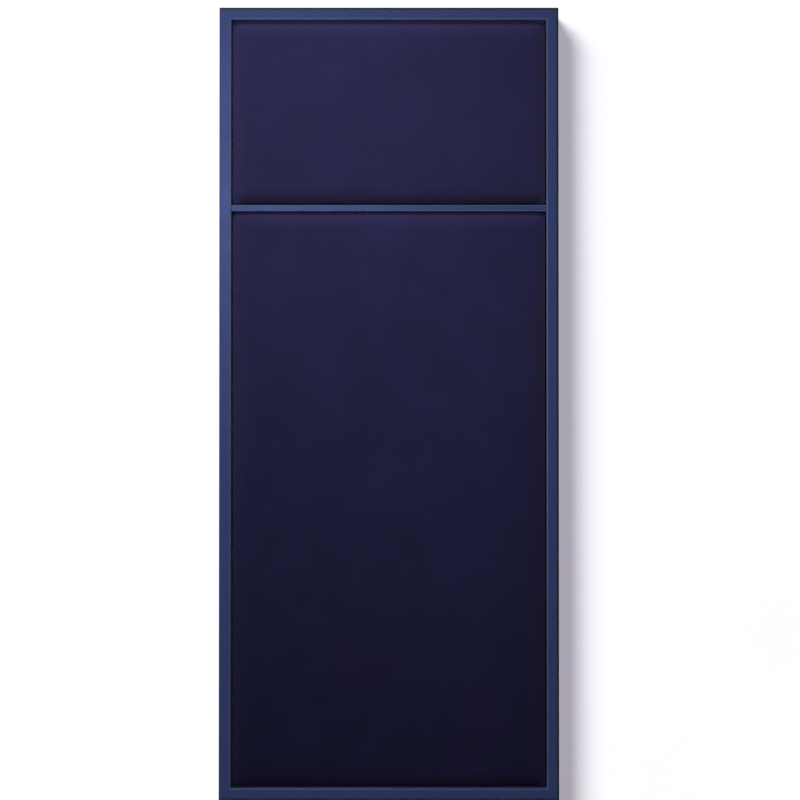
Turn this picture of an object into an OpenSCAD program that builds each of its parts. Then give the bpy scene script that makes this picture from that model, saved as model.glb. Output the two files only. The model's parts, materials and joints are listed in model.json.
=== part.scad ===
// Framed wall pad board: two upholstered pads in a slim lacquered frame, hung on a two-part wall rail.
// X runs across the board, Z runs up, and the board faces -Y. The wall is the plane Y = 0.
// The origin lies on the wall, midway between the two screw holes of the wall rail.
// A depth is a distance forward from the wall, so a point at depth d has Y = -d.

/* [Board] */
// Overall width across the stiles
board_w = 270; // [240:1:420]
// Overall height across the rails
board_h = 630; // [560:1:900]
// Distance from the wall to the front of the frame
board_d = 25; // [24.5:0.5:30]
// Height of the upper opening, between the top rail and the divider
upper_open_h = 147.5; // [130:0.5:200]
// Distance from the top edge down to the wall screws
hang_drop = 60; // [56:1:70]

/* [Frame] */
// Width of a frame bar seen from the front
face_w = 9.6; // [9.2:0.1:14]
// Width left behind the panel on the back of a frame bar
lip_w = 5.6; // [5.4:0.1:7]
// Rounding of the front edges of the frame
arris_r = 0.9; // [0.4:0.1:1.2]
// Width of the divider seen from the front
divider_w = 5.3; // [5:0.1:10]
// How far the divider lies behind the front of the frame
divider_set_back = 1.2; // [0:0.1:2]
// Leg length of a corner spline
spline_leg = 13.5; // [10:0.5:14]
// Thickness of a corner spline
spline_t = 2; // [1.5:0.1:2.5]

/* [Back] */
// Thickness of the back panel
panel_t = 3; // [2.5:0.5:4]
// Gap around the back panel in its rebate
panel_gap = 0.4; // [0.2:0.1:0.8]
// Thickness of the wall bumpers
bumper_t = 1.5; // [1:0.1:1.5]
// Radius of a wall bumper
bumper_r = 3; // [2.5:0.1:3]

/* [Pads] */
// Visible gap between a pad and the frame
reveal = 0.6; // [0.5:0.1:2]
// How far the crown of a pad lies behind the front of the frame
crown_set_back = 0.3; // [0.2:0.1:2]
// Thickness of the cover cloth
cloth_t = 0.9; // [0.6:0.1:1]
// Width of cloth folded behind the pad board
turn_in = 18; // [16:1:22]
// Thickness of the pad board
pad_board_t = 6; // [6:0.5:6.5]
// Thickness of the soft layer over the foam, at the middle
wadding_t = 2.4; // [2:0.1:2.6]
// Spacing of the staples
staple_pitch = 50; // [40:5:80]

/* [Wall rail] */
// Length of both hanging rails
rail_l = 180; // [170:5:190]
// Thickness of the rail metal
rail_t = 1.6; // [1.5:0.1:1.6]
// Space between hooked rail surfaces
rail_gap = 0.4; // [0.4:0.05:0.5]
// Distance between the two wall screw holes
wall_hole_pitch = 140; // [100:5:150]
// Radius of a wall screw hole
wall_hole_r = 2.25; // [2:0.05:2.6]

/* [Turn buttons] */
// Distance from a button's pivot to the frame lip
pivot_inset = 12; // [11:0.5:13]
// How far a button's tongue reaches into the frame
tongue_bite = 3; // [2.5:0.1:3]
// Width of a button's tongue
tongue_w = 9; // [7:0.5:9]
// Thickness of a button
button_t = 1.4; // [1.2:0.1:1.4]
// Running clearance between a button and its pivot screw
pivot_clear = 0.05; // [0.03:0.01:0.08]

/* [Hidden] */
$fn = 48;

lacquer_blue = [0.17, 0.22, 0.43];
cloth_navy = [0.11, 0.11, 0.24];

// Extra length on a cut, so that it clears the face it opens
past = 1;
// Clearance around dowels and screws in their holes
hole_clear = 0.05;
// Thickness of a slice that only gives a hull its outline at one depth
slice_t = 0.01;

// Places on the board are measured from its middle, which lies this far above the origin
board_mid_z = hang_drop - board_h / 2;
half_w = board_w / 2;
half_h = board_h / 2;
inner_half_w = half_w - face_w;
inner_half_h = half_h - face_w;

// Depths of the layers, from the wall to the front. The hooked rails lie as three sheets of metal,
// with a gap between neighbours, and the rearmost of the board rail stands clear of the wall
rail_lip_back_d = 0.6;
panel_back_d = rail_lip_back_d + 3 * rail_t + 2 * rail_gap;
panel_front_d = panel_back_d + panel_t;
pad_board_back_d = panel_front_d + cloth_t;
pad_board_front_d = pad_board_back_d + pad_board_t;
crown_d = board_d - crown_set_back;
foam_front_d = crown_d - cloth_t - wadding_t;
divider_front_d = board_d - divider_set_back;
spline_d = (panel_front_d + board_d) / 2;

// The rounding of a pad's edges: at each distance in from the outline, how far behind the crown it lies
shoulder = [[0, 4.2], [3, 1.8], [12, 0]];
// The foam stops short of the pad's outline
foam_inset = 5;

// Heights of the openings and pads
divider_z = inner_half_h - upper_open_h - divider_w / 2;
lower_open_h = divider_z - divider_w / 2 + inner_half_h;
pad_w = 2 * (inner_half_w - reveal);
upper_pad_h = upper_open_h - 2 * reveal;
lower_pad_h = lower_open_h - 2 * reveal;
upper_pad_z = inner_half_h - upper_open_h / 2;
lower_pad_z = lower_open_h / 2 - inner_half_h;

// Back panel outline, lying in the rebate of the frame
panel_w = board_w - 2 * (lip_w + panel_gap);
panel_h = board_h - 2 * (lip_w + panel_gap);

// Hanging rails: the wall rail's hook opens upward and the board rail drops into it
wall_web_bottom_z = -13;
wall_step_z = 7;
hook_top_z = 17;
board_lip_bottom_z = 8;
board_web_top_z = 37;
board_rail_screw_z = 28;
board_rail_screw_xs = [-75, -25, 25, 75];

// Dowels that join each end of the divider to a stile, one near its back and one near its front
dowel_r = 1.5;
dowel_in_stile = 6;
dowel_in_divider = 8;
dowel_back_inset = 4.3;
dowel_front_inset = 3.8;
dowel_ds = [panel_front_d + dowel_back_inset, divider_front_d - dowel_front_inset];

// Wall bumpers: how far their middles lie from the edges of the board
bumper_inset = bumper_r + 0.4;

// Screws
screw_r = 1.5;
head_r = 2.9;
head_t = 1.8;
point_l = 2;
point_r = 0.3;
pad_screw_l = 9;
rail_screw_l = 10.5;
pivot_screw_l = 11;
recess_l = 3.2;
recess_w = 0.8;
recess_t = 1.1;
pad_screw_side = 24;
pad_screw_end = 25;
pad_screw_x = pad_w / 2 - pad_screw_side;
pad_screw_spots = [
    for (x = [-pad_screw_x, pad_screw_x])
        for (z = [
            upper_pad_z + upper_pad_h / 2 - pad_screw_end,
            upper_pad_z - upper_pad_h / 2 + pad_screw_end,
            lower_pad_z + lower_pad_h / 2 - pad_screw_end,
            lower_pad_z,
            lower_pad_z - lower_pad_h / 2 + pad_screw_end
        ])
            [x, z]
];

// Staples
staple_l = 10;
staple_wire = 0.9;
staple_crown_t = 0.5;
staple_leg_l = 5;
staple_inset = 11;

// Turn buttons
washer_t = 0.5;
washer_r = 4;
pivot_x = half_w - lip_w - pivot_inset;
tongue_r = pivot_inset + tongue_bite;
heel_r = 6;
button_play = 0.05;
button_d = panel_back_d - washer_t - button_play;
slot_clear = 0.25;
slot_end_clear = 0.4;
slot_r = tongue_r + slot_end_clear;
rib_l = 6.5;
rib_w = 1.2;
rib_t = 0.9;
rib_x = 8.5;
middle_button_drop = 120;
lower_button_rise = 75;
upper_button_z = upper_pad_z;
middle_button_z = divider_z - divider_w / 2 - middle_button_drop;
lower_button_z = lower_button_rise - half_h;
button_zs = [upper_button_z, middle_button_z, lower_button_z];

// ---- Helpers ----

// Moves what is measured from the middle of the board to its place above the origin
module on_board() {
    translate([0, 0, board_mid_z])
        children();
}

// A plate of the outline (x, z) between two depths
module plate(d_back, d_front) {
    translate([0, -d_back, 0])
        rotate([90, 0, 0])
            linear_extrude(d_front - d_back)
                children();
}

// A round bar along the depth
module post(x, z, d_back, d_front, r) {
    translate([x, -d_back, z])
        rotate([90, 0, 0])
            cylinder(h = d_front - d_back, r = r);
}

module rect(w, h) {
    square([w, h], center = true);
}

// The sliver that rounding a corner at the origin takes away, for material on the +X +Y side
module corner_sliver(r) {
    difference() {
        translate([-past, -past])
            square([r + past, r + past]);
        translate([r, r])
            circle(r);
    }
}

// A pan-head screw whose head sits behind depth d and whose point runs forward
module pan_screw(x, z, d, length) {
    translate([x, -d, z])
        rotate([90, 0, 0])
            difference() {
                union() {
                    translate([0, 0, -head_t])
                        cylinder(h = head_t, r = head_r);
                    cylinder(h = length - point_l, r = screw_r);
                    translate([0, 0, length - point_l])
                        cylinder(h = point_l, r1 = screw_r, r2 = point_r);
                }
                for (turn = [0, 90])
                    rotate([0, 0, turn])
                        translate([-recess_l / 2, -recess_w / 2, -head_t - past])
                            cube([recess_l, recess_w, recess_t + past]);
            }
}

// The hole for a screw that starts at depth d
module screw_hole(x, z, d, length) {
    post(x, z, d - past, d + length + hole_clear, screw_r + hole_clear);
}

// ---- Frame ----

// Section of a frame bar: across from its outer face, and depth from the wall
module bar_profile() {
    difference() {
        translate([0, bumper_t])
            square([face_w, board_d - bumper_t]);
        translate([lip_w, 0])
            square([face_w, panel_front_d]);
        translate([0, board_d])
            mirror([0, 1])
                corner_sliver(arris_r);
        translate([face_w, board_d])
            mirror([1, 0])
                mirror([0, 1])
                    corner_sliver(arris_r);
    }
}

// A bar whose outer face stands at x = -across, mitred at both ends, and slotted for the corner splines
module mitred_bar(across, along) {
    difference() {
        intersection() {
            translate([-across, 0, -along])
                mirror([0, 1, 0])
                    linear_extrude(2 * along)
                        bar_profile();
            plate(0, board_d + past)
                polygon([
                    [-across - past, along + past],
                    [-across + face_w + past, along - face_w - past],
                    [-across + face_w + past, -along + face_w + past],
                    [-across - past, -along - past]
                ]);
        }
        for (end = [0, 1])
            mirror([0, 0, end])
                translate([-across, 0, along])
                    spline(past);
    }
}

// A corner spline, or with extra its slot, for the corner at the upper left
module spline(extra) {
    plate(spline_d - spline_t / 2, spline_d + spline_t / 2)
        polygon([
            [-extra, extra],
            [spline_leg + extra, extra],
            [spline_leg, 0],
            [0, -spline_leg],
            [-extra, -spline_leg - extra]
        ]);
}

// A stile on the left: a bar with dowel holes for the divider and slots for the buttons' tongues
module stile() {
    difference() {
        mitred_bar(half_w, half_h);
        for (d = dowel_ds)
            dowel(-inner_half_w - dowel_in_stile, -inner_half_w + past, d, dowel_r + hole_clear);
        for (z = button_zs)
            post(-pivot_x, z, button_d - button_t - slot_clear, button_d + slot_clear, slot_r);
    }
}

module left_stile() {
    color(lacquer_blue)
        on_board()
            stile();
}

module right_stile() {
    color(lacquer_blue)
        on_board()
            mirror([1, 0, 0])
                stile();
}

module top_rail() {
    color(lacquer_blue)
        on_board()
            rotate([0, 90, 0])
                mitred_bar(half_h, half_w);
}

module bottom_rail() {
    color(lacquer_blue)
        on_board()
            rotate([0, -90, 0])
                mitred_bar(half_h, half_w);
}

module corner_splines() {
    color("burlywood")
        on_board()
            for (side = [0, 1])
                for (end = [0, 1])
                    mirror([side, 0, 0])
                        mirror([0, 0, end])
                            translate([-half_w, 0, half_h])
                                spline(0);
}

// A round dowel along X
module dowel(x0, x1, d, r) {
    translate([x0, -d, divider_z])
        rotate([0, 90, 0])
            cylinder(h = x1 - x0, r = r);
}

module divider_rail() {
    color(lacquer_blue)
        on_board()
            difference() {
                translate([-inner_half_w, -divider_front_d, divider_z - divider_w / 2])
                    rotate([90, 0, 90])
                        linear_extrude(2 * inner_half_w)
                            divider_profile();
                for (side = [0, 1])
                    mirror([side, 0, 0])
                        for (d = dowel_ds)
                            dowel(
                                -inner_half_w - past,
                                -inner_half_w + dowel_in_divider,
                                d,
                                dowel_r + hole_clear
                            );
            }
}

// Section of the divider: back from its front face, and up from its lower face
module divider_profile() {
    difference() {
        square([divider_front_d - panel_front_d, divider_w]);
        corner_sliver(arris_r);
        translate([0, divider_w])
            mirror([0, 1])
                corner_sliver(arris_r);
    }
}

module divider_dowels() {
    color("burlywood")
        on_board()
            for (side = [0, 1])
                mirror([side, 0, 0])
                    for (d = dowel_ds)
                        dowel(
                            -inner_half_w - dowel_in_stile + hole_clear,
                            -inner_half_w + dowel_in_divider - hole_clear,
                            d,
                            dowel_r
                        );
}

// ---- Back ----

module back_panel() {
    color("peru")
        on_board()
            difference() {
                plate(panel_back_d, panel_front_d)
                    rect(panel_w, panel_h);
                all_screw_holes();
            }
}

// Holes for every screw that passes the back panel
module all_screw_holes() {
    for (spot = pad_screw_spots)
        screw_hole(spot[0], spot[1], panel_back_d, pad_screw_l);
    for (x = board_rail_screw_xs)
        screw_hole(x, board_rail_screw_z - board_mid_z, panel_back_d, rail_screw_l - rail_t);
    for (x = [-pivot_x, pivot_x])
        for (z = button_zs)
            screw_hole(x, z, panel_back_d, pivot_screw_l - washer_t - button_t - 2 * button_play);
}

module pad_screws() {
    color("silver")
        on_board()
            for (spot = pad_screw_spots)
                pan_screw(spot[0], spot[1], panel_back_d, pad_screw_l);
}

module wall_bumpers() {
    color("dimgray")
        on_board()
            for (side = [-1, 1])
                post(side * (half_w - bumper_inset), bumper_inset - half_h, 0, bumper_t, bumper_r);
}

// ---- Hanging rails ----

// Draws a rail section, given as depth and height, along the length of a rail
module along_rail() {
    translate([-rail_l / 2, 0, 0])
        rotate([90, 0, 90])
            linear_extrude(rail_l)
                mirror([1, 0])
                    children();
}

module wall_rail() {
    hook_d = rail_lip_back_d + rail_t + rail_gap;
    color("silver")
        difference() {
            along_rail()
                polygon([
                    [0, wall_web_bottom_z],
                    [rail_t, wall_web_bottom_z],
                    [rail_t, wall_step_z - rail_t],
                    [hook_d + rail_t, wall_step_z - rail_t],
                    [hook_d + rail_t, hook_top_z],
                    [hook_d, hook_top_z],
                    [hook_d, wall_step_z],
                    [0, wall_step_z]
                ]);
            for (x = [-wall_hole_pitch / 2, wall_hole_pitch / 2])
                post(x, 0, -past, rail_t + past, wall_hole_r);
        }
}

module board_rail() {
    color("silver")
        difference() {
            along_rail()
                polygon([
                    [panel_back_d, board_web_top_z],
                    [panel_back_d - rail_t, board_web_top_z],
                    [panel_back_d - rail_t, hook_top_z + rail_t],
                    [rail_lip_back_d, hook_top_z + rail_t],
                    [rail_lip_back_d, board_lip_bottom_z],
                    [rail_lip_back_d + rail_t, board_lip_bottom_z],
                    [rail_lip_back_d + rail_t, hook_top_z],
                    [panel_back_d, hook_top_z]
                ]);
            for (x = board_rail_screw_xs)
                post(
                    x,
                    board_rail_screw_z,
                    panel_back_d - rail_t - past,
                    panel_back_d + past,
                    screw_r + hole_clear
                );
        }
}

module board_rail_screws() {
    color("silver")
        for (x = board_rail_screw_xs)
            pan_screw(x, board_rail_screw_z, panel_back_d - rail_t, rail_screw_l);
}

// ---- Pads ----

// The crowned form of a pad from depth d_back forward, taken in all round by t
module pad_form(w, h, d_back, t) {
    front_d = crown_d - t;
    hull() {
        plate(d_back, front_d - shoulder[0][1])
            rect(w - 2 * (shoulder[0][0] + t), h - 2 * (shoulder[0][0] + t));
        for (step = [shoulder[1], shoulder[2]])
            plate(front_d - step[1] - slice_t, front_d - step[1])
                rect(w - 2 * (step[0] + t), h - 2 * (step[0] + t));
    }
}

// The cover: cloth over the front and sides, folded behind the pad board
module pad_cover(h, z) {
    difference() {
        translate([0, 0, z])
            difference() {
                pad_form(pad_w, h, panel_front_d, 0);
                pad_form(pad_w, h, pad_board_back_d, cloth_t);
                plate(panel_front_d - past, pad_board_front_d)
                    rect(pad_w - 2 * turn_in, h - 2 * turn_in);
                staples(h);
            }
        all_screw_holes();
    }
}

module pad_board(h, z) {
    difference() {
        translate([0, 0, z])
            difference() {
                plate(pad_board_back_d, pad_board_front_d)
                    rect(pad_w - 2 * cloth_t, h - 2 * cloth_t);
                staples(h);
            }
        all_screw_holes();
    }
}

module pad_foam(h) {
    plate(pad_board_front_d, foam_front_d)
        rect(pad_w - 2 * foam_inset, h - 2 * foam_inset);
}

module pad_wadding(h) {
    difference() {
        pad_form(pad_w, h, pad_board_front_d, cloth_t);
        pad_foam(h);
    }
}

// One staple, its crown along X in the folded cloth and its legs in the pad board
module staple() {
    crown_d = panel_front_d + hole_clear;
    plate(crown_d, crown_d + staple_crown_t)
        rect(staple_l, staple_wire);
    for (side = [-1, 1])
        translate([side * (staple_l - staple_wire) / 2, 0, 0])
            plate(crown_d, crown_d + staple_leg_l)
                rect(staple_wire, staple_wire);
}

// An even row of staples along X, centred on the origin
module staple_row(length) {
    count = floor(length / staple_pitch);
    for (i = [0 : count - 1])
        translate([(i - (count - 1) / 2) * length / count, 0, 0])
            staple();
}

// The staples of a pad of height h
module staples(h) {
    for (side = [-1, 1])
        translate([0, 0, side * (h / 2 - staple_inset)])
            staple_row(pad_w - 2 * turn_in);
    for (side = [-1, 1])
        translate([side * (pad_w / 2 - staple_inset), 0, 0])
            rotate([0, 90, 0])
                staple_row(h - 2 * turn_in);
}

module upper_pad_board() {
    color("tan")
        on_board()
            pad_board(upper_pad_h, upper_pad_z);
}

module upper_pad_foam() {
    color("dimgray")
        on_board()
            translate([0, 0, upper_pad_z])
                pad_foam(upper_pad_h);
}

module upper_pad_wadding() {
    color("white")
        on_board()
            translate([0, 0, upper_pad_z])
                pad_wadding(upper_pad_h);
}

module upper_pad_cover() {
    color(cloth_navy)
        on_board()
            pad_cover(upper_pad_h, upper_pad_z);
}

module upper_pad_staples() {
    color("silver")
        on_board()
            translate([0, 0, upper_pad_z])
                staples(upper_pad_h);
}

module lower_pad_board() {
    color("tan")
        on_board()
            pad_board(lower_pad_h, lower_pad_z);
}

module lower_pad_foam() {
    color("dimgray")
        on_board()
            translate([0, 0, lower_pad_z])
                pad_foam(lower_pad_h);
}

module lower_pad_wadding() {
    color("white")
        on_board()
            translate([0, 0, lower_pad_z])
                pad_wadding(lower_pad_h);
}

module lower_pad_cover() {
    color(cloth_navy)
        on_board()
            pad_cover(lower_pad_h, lower_pad_z);
}

module lower_pad_staples() {
    color("silver")
        on_board()
            translate([0, 0, lower_pad_z])
                staples(lower_pad_h);
}

// ---- Turn buttons ----

// A button on the right, at height z, with its tongue in the stile
module turn_button(z) {
    color("goldenrod")
        on_board()
            translate([pivot_x, 0, z])
                difference() {
                    union() {
                        plate(button_d - button_t, button_d)
                            button_outline();
                        translate([rib_x, 0, 0])
                            plate(button_d - button_t - rib_t, button_d)
                                rect(rib_w, rib_l);
                    }
                    post(0, 0, button_d - button_t - past, button_d + past, screw_r + pivot_clear);
                }
}

// A round heel about the pivot, and a tongue whose end is an arc about the pivot
module button_outline() {
    circle(heel_r);
    intersection() {
        circle(tongue_r);
        translate([0, -tongue_w / 2])
            square([tongue_r, tongue_w]);
    }
}

module turn_button_upper_left() {
    mirror([1, 0, 0])
        turn_button(upper_button_z);
}

module turn_button_upper_right() {
    turn_button(upper_button_z);
}

module turn_button_middle_left() {
    mirror([1, 0, 0])
        turn_button(middle_button_z);
}

module turn_button_middle_right() {
    turn_button(middle_button_z);
}

module turn_button_lower_left() {
    mirror([1, 0, 0])
        turn_button(lower_button_z);
}

module turn_button_lower_right() {
    turn_button(lower_button_z);
}

module turn_button_screws() {
    color("silver")
        on_board()
            for (x = [-pivot_x, pivot_x])
                for (z = button_zs)
                    pan_screw(x, z, button_d - button_t - button_play, pivot_screw_l);
}

module turn_button_washers() {
    color("silver")
        on_board()
            for (x = [-pivot_x, pivot_x])
                for (z = button_zs)
                    difference() {
                        post(x, z, panel_back_d - washer_t, panel_back_d, washer_r);
                        post(x, z, panel_back_d - washer_t - past, panel_back_d + past, screw_r + hole_clear);
                    }
}

wall_rail();
left_stile();
right_stile();
top_rail();
bottom_rail();
corner_splines();
divider_rail();
divider_dowels();
back_panel();
board_rail();
board_rail_screws();
wall_bumpers();
upper_pad_board();
upper_pad_foam();
upper_pad_wadding();
upper_pad_cover();
upper_pad_staples();
lower_pad_board();
lower_pad_foam();
lower_pad_wadding();
lower_pad_cover();
lower_pad_staples();
pad_screws();
turn_button_upper_left();
turn_button_upper_right();
turn_button_middle_left();
turn_button_middle_right();
turn_button_lower_left();
turn_button_lower_right();
turn_button_screws();
turn_button_washers();
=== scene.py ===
import json
import math

import bmesh
import bpy
import numpy as np
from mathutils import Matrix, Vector


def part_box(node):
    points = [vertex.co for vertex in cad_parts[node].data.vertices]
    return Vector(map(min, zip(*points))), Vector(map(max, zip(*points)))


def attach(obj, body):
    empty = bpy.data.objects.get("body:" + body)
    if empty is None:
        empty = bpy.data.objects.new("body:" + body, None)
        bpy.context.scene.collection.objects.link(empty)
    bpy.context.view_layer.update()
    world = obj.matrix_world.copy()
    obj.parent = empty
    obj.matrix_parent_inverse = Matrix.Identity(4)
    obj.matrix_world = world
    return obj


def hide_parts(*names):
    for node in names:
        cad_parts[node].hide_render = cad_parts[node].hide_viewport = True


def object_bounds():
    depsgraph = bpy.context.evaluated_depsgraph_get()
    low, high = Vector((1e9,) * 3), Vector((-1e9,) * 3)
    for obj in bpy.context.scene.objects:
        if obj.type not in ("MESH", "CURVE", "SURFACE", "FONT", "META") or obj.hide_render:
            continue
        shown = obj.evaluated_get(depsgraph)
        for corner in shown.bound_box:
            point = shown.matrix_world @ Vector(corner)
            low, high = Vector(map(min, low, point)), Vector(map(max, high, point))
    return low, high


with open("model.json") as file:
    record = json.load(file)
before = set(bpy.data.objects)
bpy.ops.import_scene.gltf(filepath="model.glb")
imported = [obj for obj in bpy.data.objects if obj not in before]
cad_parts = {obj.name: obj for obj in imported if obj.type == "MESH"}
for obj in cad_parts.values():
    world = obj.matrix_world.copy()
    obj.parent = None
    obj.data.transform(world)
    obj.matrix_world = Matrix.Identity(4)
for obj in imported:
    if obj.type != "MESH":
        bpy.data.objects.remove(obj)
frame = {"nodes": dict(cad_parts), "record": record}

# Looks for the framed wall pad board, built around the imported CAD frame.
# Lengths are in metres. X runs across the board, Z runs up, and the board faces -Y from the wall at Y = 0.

cad_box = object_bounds()
low, high = cad_box
middle = (low + high) / 2
scene = bpy.context.scene
scene.view_settings.view_transform = "Standard"

# ---- Camera ----

VIEW_DISTANCE = 1.2  # from the lens to the front of the frame
VIEW_SIDE = 0.6353  # side of the square that the picture takes in, at the front of the frame
AIM_RIGHT = 0.0088  # where the middle of the picture falls, from the middle of the board
AIM_UP = 0.0024
LENS_BELOW_AIM = 0.0121  # the camera looks up a little
SENSOR = 36  # width of the camera's sensor, in millimetres


def make_camera():
    data = bpy.data.cameras.new("camera")
    data.sensor_width = SENSOR
    data.lens = SENSOR * VIEW_DISTANCE / VIEW_SIDE
    camera = bpy.data.objects.new("camera", data)
    scene.collection.objects.link(camera)
    aim = Vector((middle.x + AIM_RIGHT, low.y, middle.z + AIM_UP))
    camera.location = aim + Vector((0, -VIEW_DISTANCE, -LENS_BELOW_AIM))
    camera.rotation_euler = (aim - camera.location).to_track_quat("-Z", "Y").to_euler()
    scene.camera = camera


make_camera()

# ---- Nodes ----


def new_material(name):
    """An empty Principled material. Returns it, its node tree and the coordinates of the object it is on."""
    made = bpy.data.materials.new(name)
    made.use_nodes = True
    tree = made.node_tree
    coords = tree.nodes.new("ShaderNodeTexCoord").outputs["Object"]
    return made, tree, coords


def add_node(tree, kind, inputs=(), **settings):
    """A node of that kind. Each input is a plain value or the socket that feeds it."""
    made = tree.nodes.new("ShaderNode" + kind)
    for name, value in settings.items():
        setattr(made, name, value)
    for name, value in dict(inputs).items():
        if isinstance(value, bpy.types.NodeSocket):
            tree.links.new(value, made.inputs[name])
        else:
            made.inputs[name].default_value = value
    return made


def maths(tree, operation, a, b=0.0, c=0.0):
    made = add_node(tree, "Math", {0: a, 1: b, 2: c}, operation=operation)
    return made.outputs[0]


def split(tree, vector):
    """The X, Y and Z of a vector, by name."""
    return add_node(tree, "SeparateXYZ", {0: vector}).outputs


def facing_back(tree):
    """-1 where a surface faces the front, 0 on its sides, and 1 where it faces the wall."""
    return split(tree, add_node(tree, "NewGeometry").outputs["Normal"])["Y"]


def noise(tree, coords, scale, detail=3.0, roughness=0.55, stretch=(1, 1, 1)):
    """Noise from 0 to 1, with its features drawn out where stretch is small."""
    moved = add_node(tree, "Mapping", {"Vector": coords, "Scale": stretch}).outputs[0]
    inputs = {"Vector": moved, "Scale": scale, "Detail": detail, "Roughness": roughness}
    return add_node(tree, "TexNoise", inputs).outputs[0]


def spread(tree, value, from_low, from_high, to_low=0.0, to_high=1.0):
    """A value carried from one range to another and held inside it."""
    inputs = {0: value, 1: from_low, 2: from_high, 3: to_low, 4: to_high}
    return add_node(tree, "MapRange", inputs, clamp=True).outputs[0]


def mixed(tree, share, a, b):
    """Colour a where share is 0 and colour b where it is 1."""
    made = add_node(tree, "Mix", data_type="RGBA")
    for socket, value in ((made.inputs[0], share), (made.inputs[6], a), (made.inputs[7], b)):
        if isinstance(value, bpy.types.NodeSocket):
            tree.links.new(value, socket)
        else:
            socket.default_value = value if socket == made.inputs[0] else (*value, 1)
    return made.outputs[2]


def relief(tree, height, depth, under=None):
    """The normal of a surface whose height of 0 to 1 stands for depth metres, over another normal if given."""
    inputs = {"Height": height, "Distance": depth, "Strength": 1.0}
    if under is not None:
        inputs["Normal"] = under
    return add_node(tree, "Bump", inputs).outputs[0]


def edge_wear(tree, radius, low_cut, high_cut):
    """1 along sharp edges and 0 on flats, read from how far a rounded normal leans from the true one."""
    rounded = add_node(tree, "Bevel", {"Radius": radius}, samples=4).outputs[0]
    true = add_node(tree, "NewGeometry").outputs["True Normal"]
    lean = add_node(tree, "VectorMath", {0: rounded, 1: true}, operation="DOT_PRODUCT").outputs["Value"]
    return spread(tree, lean, high_cut, low_cut)


def surface(tree, **inputs):
    """Sets the Principled shader's inputs, named with _ for a space."""
    shader = tree.nodes["Principled BSDF"]
    for name, value in inputs.items():
        socket = shader.inputs[name.replace("_", " ")]
        if isinstance(value, bpy.types.NodeSocket):
            tree.links.new(value, socket)
        else:
            socket.default_value = (*value, 1) if socket.type == "RGBA" else value


ALONG_X = (0.06, 1, 1)
ALONG_Z = (1, 1, 0.06)

# ---- Materials of the hard parts ----

HIGHLIGHT_BAND = 0.0011  # width of the painted highlight, a pale band along an inner edge of the frame
SHADE_BAND = 0.0021  # width of the painted shade, a dark band along an outer edge
STILE, RAIL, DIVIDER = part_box("left_stile"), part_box("top_rail"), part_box("divider_rail")
# Distances from the board's middle, across and up, at which the frame's edges run.
OUTER_EDGES = {"X": middle.x - STILE[0].x, "Z": RAIL[1].z - middle.z}
INNER_EDGES = {"X": middle.x - STILE[1].x, "Z": RAIL[0].z - middle.z}


def near(tree, place, edge, band):
    """1 at an edge, falling to 0 at the far side of its band."""
    apart = maths(tree, "ABSOLUTE", maths(tree, "SUBTRACT", place, edge))
    return spread(tree, apart, band * 0.6, band, 1, 0)


def lacquer(name, along, across):
    """Satin blue lacquer on close-grained wood, with the grain running along the bar.
    Across is the axis across the bar. A pale painted highlight runs along the inner edges,
    and a dark painted shade along all the outer ones but the left."""
    made, tree, coords = new_material(name)
    cloud = noise(tree, coords, 14, 2)
    grain = noise(tree, coords, 900, 4, 0.6, along)
    deep, light = (0.034, 0.050, 0.160), (0.042, 0.063, 0.188)
    colour = mixed(tree, cloud, deep, light)
    colour = mixed(tree, spread(tree, grain, 0.52, 0.75, 0, 0.35), colour, (0.028, 0.040, 0.135))
    place = split(tree, coords)
    middle_at = middle["XYZ".index(across)]
    offset = maths(tree, "SUBTRACT", place[across], middle_at)
    from_middle = maths(tree, "ABSOLUTE", offset)
    # Painted highlight: a pale band along the inner edges, and along the divider's edges on the level bars.
    inner_highlight = near(tree, from_middle, INNER_EDGES[across], HIGHLIGHT_BAND)
    if across == "Z":
        for edge in DIVIDER:
            inner_highlight = maths(tree, "MAXIMUM", inner_highlight, near(tree, place["Z"], edge.z, HIGHLIGHT_BAND))
    front = spread(tree, facing_back(tree), -0.2, 0, 1, 0)
    # Painted shade: a dark band along the outer edges on the front. It is measured signed across the uprights,
    # so the left edge gets none.
    outward = offset if across == "X" else from_middle
    outer_shade = maths(tree, "MULTIPLY", near(tree, outward, OUTER_EDGES[across], SHADE_BAND), front)
    # The painted highlight is broken up in patches by noise.
    highlight_breakup = spread(tree, noise(tree, coords, 120, 3), 0.3, 0.7, 0.5, 1.0)
    # Pale colour of the painted highlight.
    colour = mixed(tree, maths(tree, "MULTIPLY", inner_highlight, highlight_breakup), colour, (0.105, 0.130, 0.290))
    # Dark colour of the painted shade.
    colour = mixed(tree, maths(tree, "MULTIPLY", outer_shade, 0.95), colour, (0.016, 0.019, 0.040))
    peel = noise(tree, coords, 420, 2)
    bumps = relief(tree, grain, 0.00002, relief(tree, peel, 0.00003))
    rough = spread(tree, noise(tree, coords, 60, 3), 0.3, 0.7, 0.34, 0.42)
    surface(tree, Base_Color=colour, Metallic=0.25, Roughness=rough, Normal=bumps, Specular_IOR_Level=0.12)
    return made


def end_grain(name):
    """Wood cut across and lacquered: darker pores in the same blue."""
    made, tree, coords = new_material(name)
    pores = add_node(tree, "TexVoronoi", {"Vector": coords, "Scale": 2600}).outputs["Distance"]
    colour = mixed(tree, spread(tree, pores, 0.1, 0.45), (0.022, 0.032, 0.105), (0.042, 0.060, 0.172))
    surface(tree, Base_Color=colour, Roughness=0.45, Normal=relief(tree, pores, 0.00003), Coat_Weight=0.2)
    return made


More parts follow.
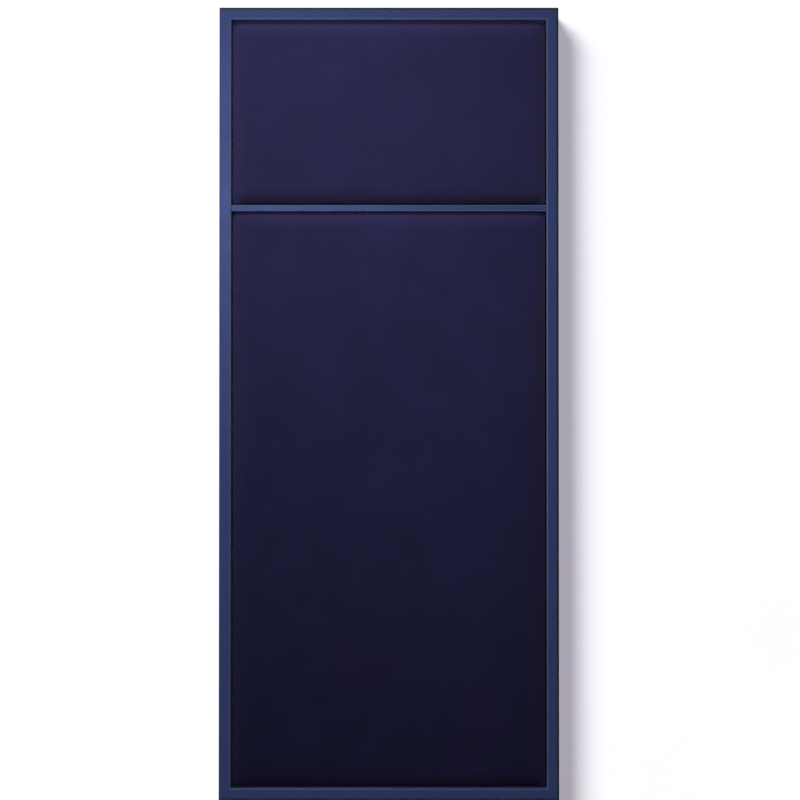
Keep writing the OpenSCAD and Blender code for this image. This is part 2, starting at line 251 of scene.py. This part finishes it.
def beech(name):
    made, tree, coords = new_material(name)
    grain = noise(tree, coords, 700, 5, 0.6, ALONG_X)
    fleck = spread(tree, noise(tree, coords, 2200, 2, 0.5, (0.15, 1, 1)), 0.6, 0.72)
    colour = mixed(tree, grain, (0.52, 0.34, 0.19), (0.66, 0.47, 0.29))
    colour = mixed(tree, maths(tree, "MULTIPLY", fleck, 0.5), colour, (0.36, 0.21, 0.11))
    surface(tree, Base_Color=colour, Roughness=0.62, Normal=relief(tree, grain, 0.00003))
    return made


def plywood(name):
    """Birch veneer on the faces, and layers of alternating grain on the edges."""
    made, tree, coords = new_material(name)
    place = split(tree, coords)
    figure = noise(tree, coords, 60, 5, 0.6, (1, 1, 0.08))
    pores = spread(tree, noise(tree, coords, 1500, 3, 0.6, (1, 1, 0.05)), 0.55, 0.75)
    face = mixed(tree, figure, (0.58, 0.41, 0.25), (0.72, 0.56, 0.37))
    layer_rate = 4400  # radians to a metre, which puts like layers 1.4 mm apart
    turns = maths(tree, "MULTIPLY", place["Y"], layer_rate)
    layers = spread(tree, maths(tree, "SINE", turns), -0.3, 0.3)
    edge = mixed(tree, layers, (0.36, 0.22, 0.12), (0.64, 0.47, 0.30))
    on_face = spread(tree, maths(tree, "ABSOLUTE", facing_back(tree)), 0.4, 0.6)
    colour = mixed(tree, on_face, edge, face)
    colour = mixed(tree, maths(tree, "MULTIPLY", pores, 0.35), colour, (0.40, 0.26, 0.14))
    surface(tree, Base_Color=colour, Roughness=0.66, Normal=relief(tree, pores, 0.00004))
    return made


def hardboard(name):
    """Brown pressed board: smooth and dark blue on the front, with the print of its screen on the back."""
    made, tree, coords = new_material(name)
    place = split(tree, coords)
    screen_pitch = 0.0018
    turns = [maths(tree, "MULTIPLY", place[axis], 2 * math.pi / screen_pitch) for axis in ("X", "Z")]
    waves = [maths(tree, "SINE", turn) for turn in turns]
    screen = maths(tree, "MAXIMUM", *waves)
    fibres = noise(tree, coords, 1100, 5, 0.65, (0.35, 1, 0.6))
    clouds = noise(tree, coords, 22, 4)
    colour = mixed(tree, fibres, (0.145, 0.080, 0.042), (0.275, 0.165, 0.092))
    colour = mixed(tree, spread(tree, clouds, 0.35, 0.7, 0, 0.4), colour, (0.20, 0.115, 0.062))
    colour = mixed(tree, spread(tree, screen, 0.75, 1.0, 0, 0.25), colour, (0.31, 0.195, 0.115))
    smooth = mixed(tree, fibres, (0.014, 0.017, 0.044), (0.026, 0.030, 0.072))
    colour = mixed(tree, spread(tree, facing_back(tree), -0.6, -0.4), smooth, colour)
    bumps = relief(tree, screen, 0.00010, relief(tree, fibres, 0.00012))
    surface(tree, Base_Color=colour, Roughness=0.78, Normal=bumps)
    return made


def metal(name, dark, bright, roughness, brush, streak=ALONG_X):
    """A metal with fine lines, dull patches and brighter edges.
    Brush is how fine the lines are, and streak is how they are drawn out."""
    made, tree, coords = new_material(name)
    lines = noise(tree, coords, brush, 4, 0.65, streak)
    patches = noise(tree, coords, 70, 4, 0.6)
    colour = mixed(tree, spread(tree, patches, 0.3, 0.7), dark, bright)
    wear_and_sheen = edge_wear(tree, radius=0.0004, low_cut=0.80, high_cut=0.985)
    colour = mixed(tree, maths(tree, "MULTIPLY", wear_and_sheen, 0.5), colour, [min(1, c * 1.15) for c in bright])
    rough = maths(tree, "ADD", spread(tree, lines, 0.3, 0.7, roughness - 0.05, roughness + 0.07),
                  spread(tree, patches, 0.4, 0.7, 0, 0.06))
    surface(tree, Base_Color=colour, Metallic=1.0, Roughness=rough, Normal=relief(tree, lines, 0.00001))
    return made


def rubber(name):
    made, tree, coords = new_material(name)
    grain = noise(tree, coords, 2600, 3, 0.6)
    dust = spread(tree, noise(tree, coords, 350, 3), 0.5, 0.8)
    colour = mixed(tree, dust, (0.018, 0.018, 0.019), (0.055, 0.053, 0.050))
    surface(tree, Base_Color=colour, Roughness=0.82, Normal=relief(tree, grain, 0.00004))
    return made


# ---- Materials of the soft parts ----

SHEEN_BAND = (0.004, 0.016)  # distances from a pad's edge between which the painted sheen fades out


def from_edge(tree, place):
    """Distance of a point on a pad from the nearest edge of the pad."""
    distances = []
    for lowest, highest in (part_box("upper_pad_cover"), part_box("lower_pad_cover")):
        for axis, edge in (("X", lowest.x), ("X", highest.x), ("Z", lowest.z), ("Z", highest.z)):
            distances.append(maths(tree, "ABSOLUTE", maths(tree, "SUBTRACT", place[axis], edge)))
    nearest = distances[0]
    for distance in distances[1:]:
        nearest = maths(tree, "MINIMUM", nearest, distance)
    return nearest


def cloth(name):
    """Dark navy upholstery cloth: a plain weave of slubby yarn with a soft nap.
    It carries a painted sheen: a warmer colour in patches along the pads' rounded edges."""
    made, tree, coords = new_material(name)
    yarn_pitch = 0.0011
    wobble = noise(tree, coords, 260, 2)
    place = split(tree, coords)
    waves = []
    for axis in ("X", "Z"):
        turns = maths(tree, "MULTIPLY_ADD", place[axis], math.pi / yarn_pitch, wobble)
        waves.append(maths(tree, "SINE", turns))
    weave = maths(tree, "MULTIPLY_ADD", maths(tree, "MULTIPLY", *waves), 0.5, 0.5)
    fibres = noise(tree, coords, 3200, 4, 0.7)
    slubs = noise(tree, coords, 300, 3, 0.6, (0.2, 1, 1))
    clouds = noise(tree, coords, 30, 4)
    stains = noise(tree, coords, 9, 4, 0.6)
    colour = mixed(tree, fibres, (0.0100, 0.0118, 0.0520), (0.0160, 0.0186, 0.0780))
    colour = mixed(tree, spread(tree, slubs, 0.45, 0.75, 0, 0.25), colour, (0.0185, 0.0198, 0.0880))
    colour = mixed(tree, spread(tree, clouds, 0.35, 0.65, 0, 0.8), colour, (0.0102, 0.0115, 0.0520))
    colour = mixed(tree, spread(tree, stains, 0.42, 0.68, 0, 0.55), colour, (0.0145, 0.0115, 0.0560))
    patchy = spread(tree, noise(tree, coords, 70, 3), 0.3, 0.7, 0.6, 1.0)
    front = spread(tree, facing_back(tree), -0.6, -0.3, 1, 0)
    wear_and_sheen = maths(tree, "MULTIPLY", patchy, front)
    # Painted sheen: a warmer colour in patches along the pads' rounded edges, on front-facing cloth only.
    edge_sheen = maths(tree, "MULTIPLY", spread(tree, from_edge(tree, place), *SHEEN_BAND, 1, 0), wear_and_sheen)
    colour = mixed(tree, edge_sheen, colour, (0.0162, 0.0140, 0.0575))
    bumps = relief(tree, fibres, 0.00006, relief(tree, weave, 0.00005))
    surface(tree, Base_Color=colour, Roughness=0.92, Normal=bumps, Specular_IOR_Level=0.18)
    surface(tree, Sheen_Weight=0.2, Sheen_Roughness=0.5, Sheen_Tint=(1.0, 0.66, 0.90))
    return made


def foam(name):
    """Charcoal foam with small closed cells."""
    made, tree, coords = new_material(name)
    cells = add_node(tree, "TexVoronoi", {"Vector": coords, "Scale": 1300}).outputs["Distance"]
    colour = mixed(tree, spread(tree, cells, 0.05, 0.6), (0.018, 0.018, 0.020), (0.052, 0.052, 0.056))
    surface(tree, Base_Color=colour, Roughness=0.9, Normal=relief(tree, cells, 0.0002))
    return made


def wadding(name):
    """White polyester fibres lying every way."""
    made, tree, coords = new_material(name)
    lying, standing = (noise(tree, coords, 1200, 4, 0.7, way) for way in (ALONG_X, ALONG_Z))
    strands = maths(tree, "MAXIMUM", lying, standing)
    colour = mixed(tree, strands, (0.62, 0.62, 0.60), (0.88, 0.88, 0.86))
    surface(tree, Base_Color=colour, Roughness=0.95, Normal=relief(tree, strands, 0.0004), Sheen_Weight=0.4)
    return made


# Each metal's dull and bright colours.
ALUMINIUM = (0.50, 0.51, 0.53), (0.66, 0.67, 0.69)
ZINC = (0.48, 0.49, 0.50), (0.64, 0.65, 0.66)
BRASS = (0.50, 0.33, 0.12), (0.72, 0.52, 0.24)

FINISHES = {
    "frame_lacquer": lacquer("frame_lacquer_upright", ALONG_Z, "X"),
    "spline_lacquer": end_grain("spline_lacquer"),
    "dowel_wood": beech("dowel_wood"),
    "hardboard": hardboard("hardboard_print"),
    "plywood": plywood("plywood_birch"),
    "dense_foam": foam("dense_foam_cells"),
    "wadding": wadding("wadding_fibres"),
    "cover_cloth": cloth("cover_cloth_weave"),
    "rail_aluminium": metal("rail_aluminium_drawn", *ALUMINIUM, 0.34, 1600),
    "zinc_steel": metal("zinc_steel_bright", *ZINC, 0.30, 2600, (1, 1, 1)),
    "button_brass": metal("button_brass_stamped", *BRASS, 0.30, 2000, (1, 1, 0.2)),
    "bumper_rubber": rubber("bumper_rubber_matt"),
}
LEVEL_BARS = ("top_rail", "bottom_rail", "divider_rail")


def paint(piece, finish):
    piece.data.materials.clear()
    piece.data.materials.append(finish)


def finish_cad_nodes():
    level_lacquer = lacquer("frame_lacquer_level", ALONG_X, "Z")
    for part in frame["record"]["subparts"]:
        level = part["node"] in LEVEL_BARS
        finish = level_lacquer if level else FINISHES[part["material_slot"]]
        slots = frame["nodes"][part["node"]].material_slots
        for slot in slots:
            slot.material = finish


finish_cad_nodes()

# ---- Pads ----

CLOTH_T = 0.0009  # thickness of the cover cloth
TURN_IN = 0.018  # width of cloth folded behind the pad board
GRID = 0.003  # spacing of the points on a cover
EDGE_LINE = 0.0008  # distance in from the edge of a cover's outermost row of points
RINGS = (0.08, 0.3, 0.55, 0.8)  # rings of points round a cover's sides, as shares of the way back
SHOULDER_W = 0.014  # width of the rounded margin of a pad
SHOULDER_DROP = 0.0041  # how far the outer edge of the margin lies behind the crown
SHOULDER_CURVE = 2.5  # power of the margin's curve
SHOULDER_CORNER = 0.009  # rounding of the margin at a pad's corners
CORNER_R = 0.0022  # rounding of a pad's outline at its corners
SWELL = 0.0007  # how far the cover may swell
PRESSURE = 1.0
TAUT = 30  # stiffness of the cloth against stretching
SWELL_QUALITY = 5  # parts that each step of the simulation is worked out in
SWELL_STEPS = 20  # steps of the cloth simulation
HELD = 0.6  # share of a pad's depth, from the back, over which the cover is held
SIDE_SLACK = 0.0001  # how far the cover starts inside the outline it swells to
EASE = 0.0004  # room between the cover's inside and the layers under it
LAYER_GAP = 0.00005  # gap between the foam and the soft layer
WADDING_LEAST = 0.0006  # thickness of the soft layer where it is squeezed most
FOAM_EDGE = 0.0008  # softening of the foam's front edges
FOAM_LINES = [0, 0.0003, 0.0008, 0.0025, 0.0045, 0.0070, 0.0100]  # insets of the foam's outer grid lines
COARSE_GRID = 0.012  # spacing of the points in the middle of the hidden layers


def inset_from(x, z, half_w, half_h, corner_r):
    """Distance of points in from a rectangle with rounded corners, centred on the origin."""
    across = np.abs(x) - (half_w - corner_r)
    up = np.abs(z) - (half_h - corner_r)
    outside = np.hypot(np.maximum(across, 0), np.maximum(up, 0))
    return corner_r - outside - np.minimum(np.maximum(across, up), 0)


def round_corners(x, z, half_w, half_h, corner_r):
    """Moves points that lie beyond the rounded corners of a rectangle on to them."""
    across = np.abs(x) - (half_w - corner_r)
    up = np.abs(z) - (half_h - corner_r)
    reach = np.hypot(across, up)
    beyond = (across > 0) & (up > 0) & (reach > corner_r)
    pull = np.where(beyond, corner_r / np.maximum(reach, corner_r), 1)
    moved_x = np.where(beyond, np.sign(x) * (half_w - corner_r + across * pull), x)
    moved_z = np.where(beyond, np.sign(z) * (half_h - corner_r + up * pull), z)
    return moved_x, moved_z


def crown(x, z, half_w, half_h, front):
    """Depth of a pad's face: flat in the middle, and rounded back in a margin along the outline."""
    inset = np.maximum(inset_from(x, z, half_w, half_h, SHOULDER_CORNER), 0)
    left = np.maximum(1 - inset / SHOULDER_W, 0)
    return front - SHOULDER_DROP * left**SHOULDER_CURVE


def closed_panel(name, x, z, front, back, sides):
    """A closed mesh with a front and a back over one grid of points, at depths from the wall.
    sides gives how far, from front to back, each extra ring of points up its sides lies."""
    rows, columns = x.shape
    index = np.arange(rows * columns).reshape(rows, columns)
    loop = np.concatenate([index[0, :-1], index[:-1, -1], index[-1, :0:-1], index[:0:-1, 0]])
    flat_x, flat_z, flat_front, flat_back = (a.ravel() for a in (x, z, front, back))
    layers = [np.stack([flat_x, -flat_front, flat_z], 1)]
    for share in sides:
        depth = flat_front[loop] + (flat_back[loop] - flat_front[loop]) * share
        layers.append(np.stack([flat_x[loop], -depth, flat_z[loop]], 1))
    layers.append(np.stack([flat_x, -flat_back, flat_z], 1))
    grid_size, ring_size = rows * columns, len(loop)
    loops = [loop]
    loops += [grid_size + i * ring_size + np.arange(ring_size) for i in range(len(sides))]
    back_start = grid_size + len(sides) * ring_size
    loops.append(back_start + loop)
    quads = np.stack([index[:-1, :-1], index[:-1, 1:], index[1:, 1:], index[1:, :-1]], -1).reshape(-1, 4)
    faces = [quads, back_start + quads[:, ::-1]]
    for ring, behind in zip(loops, loops[1:]):
        faces.append(np.stack([ring, behind, np.roll(behind, -1), np.roll(ring, -1)], 1))
    mesh = bpy.data.meshes.new(name)
    mesh.from_pydata(np.concatenate(layers).tolist(), [], np.concatenate(faces).tolist())
    mesh.validate()
    piece = bpy.data.objects.new(name, mesh)
    scene.collection.objects.link(piece)
    return piece


def points_of(mesh):
    flat = np.zeros(len(mesh.vertices) * 3)
    mesh.vertices.foreach_get("co", flat)
    return flat.reshape(-1, 3)


def swell(piece, held):
    """Blows the piece up as taut cloth, held at some of its points, and scales its movement down to SWELL."""
    start = points_of(piece.data)
    normals = np.array([v.normal for v in piece.data.vertices])
    group = piece.vertex_groups.new(name="held")
    group.add([int(i) for i in np.flatnonzero(held)], 1.0, "REPLACE")
    modifier = piece.modifiers.new("cloth", "CLOTH")
    settings = modifier.settings
    settings.quality = SWELL_QUALITY
    settings.vertex_group_mass = group.name
    settings.tension_stiffness = settings.compression_stiffness = TAUT
    settings.use_pressure = True
    settings.uniform_pressure_force = PRESSURE
    settings.effector_weights.gravity = 0
    modifier.collision_settings.use_collision = False
    modifier.point_cache.frame_start, modifier.point_cache.frame_end = 1, SWELL_STEPS
    for step in range(1, SWELL_STEPS + 1):
        scene.frame_set(step)
    swollen = piece.evaluated_get(bpy.context.evaluated_depsgraph_get())
    moved = points_of(swollen.data) - start
    scene.frame_set(1)
    piece.modifiers.remove(modifier)
    outward = (moved * normals).sum(1)
    eased = outward * SWELL / outward.max()
    piece.data.vertices.foreach_set("co", (start + normals * eased[:, None]).ravel())
    piece.data.update()


def open_back(piece, back, half_w, half_h, middle_z):
    """Takes away the back of a cover inside its turn-in."""
    shell = bmesh.new()
    shell.from_mesh(piece.data)
    gone = []
    for face in shell.faces:
        x, y, z = face.calc_center_median()
        inside = inset_from(x, z - middle_z, half_w, half_h, CORNER_R) > TURN_IN
        if y > -back - CLOTH_T / 2 and inside:
            gone.append(face)
    bmesh.ops.delete(shell, geom=gone, context="FACES")
    shell.to_mesh(piece.data)
    shell.free()


def soften(piece, levels):
    for face in piece.data.polygons:
        face.use_smooth = True
    smooth = piece.modifiers.new("smooth", "SUBSURF")
    smooth.levels = smooth.render_levels = levels


def stand_for(piece, node, slot):
    """The piece is shown in a soft CAD node's stead, and moves with the board."""
    paint(piece, FINISHES[slot])
    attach(piece, "board")
    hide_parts(node)


def extent(node):
    """A pad layer's half width, half height, back and front depth, and the height of its middle."""
    lowest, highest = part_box(node)
    half_w, half_h = (highest.x - lowest.x) / 2, (highest.z - lowest.z) / 2
    return half_w, half_h, -highest.y, -lowest.y, (highest.z + lowest.z) / 2


def cover_lines(half):
    """Grid lines from one side of a cover to the other, even but for one more close to each edge."""
    even = np.linspace(-half, half, round(2 * half / GRID) + 1)
    return np.concatenate([even[:1], [EDGE_LINE - half], even[1:-1], [half - EDGE_LINE], even[-1:]])


def make_cover(pad):
    """The cover of a pad. Returns the lines of its grid, and the depth of its inside at each point."""
    node = pad + "_pad_cover"
    half_w, half_h, back, front, middle_z = extent(node)
    start_w, start_h = half_w - SIDE_SLACK, half_h - SIDE_SLACK
    xs, zs = cover_lines(start_w), cover_lines(start_h)
    x, z = np.meshgrid(xs, zs)
    face = crown(x, z, start_w, start_h, front - SWELL)
    x, z = round_corners(x, z, start_w, start_h, CORNER_R)
    piece = closed_panel(pad + "_pad_cloth", x, z + middle_z, face, np.full_like(x, back), RINGS)
    held = points_of(piece.data)[:, 1] > -back - HELD * (front - back - SHOULDER_DROP)
    swell(piece, held)
    depth = -points_of(piece.data)[: x.size, 1].reshape(x.shape)
    open_back(piece, back, half_w, half_h, middle_z)
    thick = piece.modifiers.new("thickness", "SOLIDIFY")
    thick.thickness = CLOTH_T
    thick.offset = -1
    soften(piece, 1)
    stand_for(piece, node, "cover_cloth")
    up, across = np.gradient(depth, zs, xs)
    return xs, zs, depth - CLOTH_T * np.sqrt(1 + up**2 + across**2) - EASE


def room_under(cover, x, z):
    """Depth of the inside of a cover at the points of another grid."""
    xs, zs, depth = cover
    rows = np.array([np.interp(x[0], xs, row) for row in depth])
    return np.array([np.interp(z[:, 0], zs, column) for column in rows.T]).T


def lines_from(half, insets):
    """Grid lines at those distances in from both ends of a side, and evenly spaced between them."""
    outer = half - np.array(insets)
    between = np.linspace(-outer[-1], outer[-1], round(2 * outer[-1] / COARSE_GRID) + 1)[1:-1]
    return np.concatenate([-outer, between, outer[::-1]])


def foam_face(cover, x, z, inset, front):
    """Depth of the foam's face: its edges are softened, and its corners give way under the cover."""
    eased = front - FOAM_EDGE * np.maximum(1 - np.maximum(inset, 0) / FOAM_EDGE, 0) ** 2
    return np.minimum(eased, room_under(cover, x, z) - WADDING_LEAST)


def make_foam(pad, cover):
    node = pad + "_pad_foam"
    half_w, half_h, back, front, middle_z = extent(node)
    x, z = np.meshgrid(lines_from(half_w, FOAM_LINES), lines_from(half_h, FOAM_LINES))
    face = foam_face(cover, x, z, inset_from(x, z, half_w, half_h, 0), front)
    piece = closed_panel(pad + "_pad_foam_sheet", x, z + middle_z, face, np.full_like(x, back), (0.5,))
    stand_for(piece, node, "dense_foam")


def make_wadding(pad, cover):
    """The soft layer of a pad, which fills the room between the foam, the pad board and the cover."""
    node = pad + "_pad_wadding"
    half_w, half_h, back, front, middle_z = extent(node)
    half_w, half_h = half_w - SIDE_SLACK - LAYER_GAP, half_h - SIDE_SLACK - LAYER_GAP
    foam_w, _, _, foam_front, _ = extent(pad + "_pad_foam")
    cavity = half_w - foam_w - LAYER_GAP
    insets = [0, cavity / 3, 2 * cavity / 3, cavity - LAYER_GAP] + [cavity + line for line in FOAM_LINES]
    x, z = np.meshgrid(lines_from(half_w, insets), lines_from(half_h, insets))
    face = room_under(cover, x, z)
    inset = inset_from(x, z, half_w, half_h, 0) - cavity
    over_foam = inset > -LAYER_GAP / 2
    rear = np.where(over_foam, foam_face(cover, x, z, inset, foam_front), back) + LAYER_GAP
    x, z = round_corners(x, z, half_w, half_h, CORNER_R - CLOTH_T)
    piece = closed_panel(pad + "_pad_wadding_layer", x, z + middle_z, face, rear, ())
    soften(piece, 0)
    stand_for(piece, node, "wadding")


for pad in ("upper", "lower"):
    under = make_cover(pad)
    make_foam(pad, under)
    make_wadding(pad, under)

# ---- Wall and floor ----

WALL_GAP = 0.0003  # the wall's face lies a hair behind the parts that rest on it
STAGE_HALF = 4.0  # half the width of the wall and the floor
WALL_TOP = 2.5
FLOOR_DROP = 1.0  # from the bottom of the board to the floor


def pale(name, one_sided):
    """Matt pale paint. One-sided, it is clear from behind, so that the back of the board can be looked at."""
    made, tree, coords = new_material(name)
    tint = mixed(tree, noise(tree, coords, 3, 3), (0.86, 0.86, 0.865), (0.90, 0.90, 0.90))
    grain = noise(tree, coords, 500, 3)
    surface(tree, Base_Color=tint, Roughness=0.9, Specular_IOR_Level=0.1, Normal=relief(tree, grain, 0.00003))
    if one_sided:
        behind = add_node(tree, "NewGeometry").outputs["Backfacing"]
        clear = add_node(tree, "BsdfTransparent").outputs[0]
        both = add_node(tree, "MixShader", {0: behind, 1: tree.nodes["Principled BSDF"].outputs[0], 2: clear})
        tree.links.new(both.outputs[0], tree.nodes["Material Output"].inputs["Surface"])
    return made


def stage_sheet(name, corners, finish):
    mesh = bpy.data.meshes.new(name)
    mesh.from_pydata(corners, [], [(0, 1, 2, 3)])
    sheet = bpy.data.objects.new(name, mesh)
    scene.collection.objects.link(sheet)
    paint(sheet, finish)
    return sheet


floor_z = low.z - FLOOR_DROP
wall = stage_sheet(
    "wall",
    [
        (-STAGE_HALF, WALL_GAP, floor_z),
        (STAGE_HALF, WALL_GAP, floor_z),
        (STAGE_HALF, WALL_GAP, WALL_TOP),
        (-STAGE_HALF, WALL_GAP, WALL_TOP),
    ],
    pale("wall_paint", True),
)
wall.visible_shadow = False
floor = stage_sheet(
    "floor",
    [
        (-STAGE_HALF, -STAGE_HALF, floor_z),
        (STAGE_HALF, -STAGE_HALF, floor_z),
        (STAGE_HALF, STAGE_HALF, floor_z),
        (-STAGE_HALF, STAGE_HALF, floor_z),
    ],
    pale("floor_paint", False),
)
floor.visible_diffuse = floor.visible_glossy = False

# ---- Lights ----


def linked_to(name, things, state):
    """A collection that links a lamp to those things alone (INCLUDE), or to all but them (EXCLUDE)."""
    made = bpy.data.collections.new(name)
    for thing in things:
        made.objects.link(thing)
    for item in made.collection_objects:
        item.light_linking.link_state = state
    return made


FRAME_SLOTS = ("frame_lacquer", "spline_lacquer")
parts = frame["record"]["subparts"]
bars = [frame["nodes"][part["node"]] for part in parts if part["material_slot"] in FRAME_SLOTS]
STAGE_ONLY = linked_to("stage_only", [wall, floor], "INCLUDE")
BOARD_ONLY = linked_to("board_only", [wall, floor], "EXCLUDE")
FRAME_ONLY = linked_to("frame_only", bars, "INCLUDE")
PADS_ONLY = linked_to("pads_only", [wall, floor, *bars], "EXCLUDE")
ALL_BUT_FRAME = linked_to("all_but_frame", bars, "EXCLUDE")


def add_light(name, kind, place, aim, strength, falls_on, stopped_by=None, **shape):
    """A lamp that lights falls_on alone. All things cast its shadows, or those in stopped_by alone."""
    data = bpy.data.lights.new(name, kind)
    data.energy = strength
    for key, value in shape.items():
        setattr(data, key, value)
    lamp = bpy.data.objects.new(name, data)
    scene.collection.objects.link(lamp)
    lamp.location = place
    lamp.rotation_euler = (Vector(aim) - Vector(place)).to_track_quat("-Z", "Y").to_euler()
    lamp.visible_camera = False
    lamp.light_linking.receiver_collection = falls_on
    lamp.light_linking.blocker_collection = stopped_by


def at(across, out, up):
    """A place measured from the middle of the front of the board."""
    return Vector((middle.x + across, low.y - out, middle.z + up))


CENTRE = at(0, 0, 0)
HIGHER = at(0, 0, 0.1)
UPPER = at(-0.05, 0, 0.22)
KEY = UPPER + Vector((-0.22, -0.66, 0.71)) * 1.3
KEY_SPREAD = math.radians(38)
SMALL = 0.3  # side of a small lamp

# The key is in two parts, and the frame does not stop the second: its shadow on the pads is about half as deep.
add_light("key", "AREA", KEY, UPPER, 0.65, PADS_ONLY, size=SMALL, spread=KEY_SPREAD)
add_light("key_through", "AREA", KEY, UPPER, 0.55, PADS_ONLY, ALL_BUT_FRAME, size=SMALL, spread=KEY_SPREAD)
add_light("pad_fill", "AREA", at(-1.2, 2.4, 0.8), CENTRE, 12.2, PADS_ONLY, size=3, color=(0.89, 0.89, 1))
add_light("frame_fill", "AREA", at(0, 2.5, 0), CENTRE, 49, FRAME_ONLY, size=5)
add_light("frame_front", "AREA", at(-0.12, 0.57, 0.25), HIGHER, 0.86, FRAME_ONLY, size=SMALL)
add_light("frame_near", "AREA", at(-0.20, 0.40, 0.25), HIGHER, 0.27, FRAME_ONLY, size=SMALL)
add_light("frame_side", "AREA", at(-1.0, 0.25, 0), CENTRE, 4.2, FRAME_ONLY, size=SMALL, color=(1, 0.93, 0.88))
add_light("frame_top", "AREA", at(-0.10, 0.25, 0.70), HIGHER, 0.18, FRAME_ONLY, size=SMALL, color=(0.75, 1, 1))
add_light("rear", "AREA", at(-0.8, -1.6, 0.9), CENTRE, 25, BOARD_ONLY, size=1.6)
add_light("wall_sun", "SUN", at(-0.92, 1, 0.95), CENTRE, 3.75, STAGE_ONLY, angle=math.radians(30))
add_light("wall_fill", "AREA", at(-0.1, 6, 0.3), CENTRE, 175, STAGE_ONLY, size=0.4, color=(0.93, 0.87, 1))


SURROUND = (0.93, 0.93, 0.94, 1)


def make_world():
    """A pale surround that the camera sees and that lights nothing."""
    world = bpy.data.worlds.new("surround")
    scene.world = world
    world.use_nodes = True
    world.node_tree.nodes["Background"].inputs[0].default_value = SURROUND
    world.cycles_visibility.diffuse = False
    world.cycles_visibility.glossy = False


make_world()
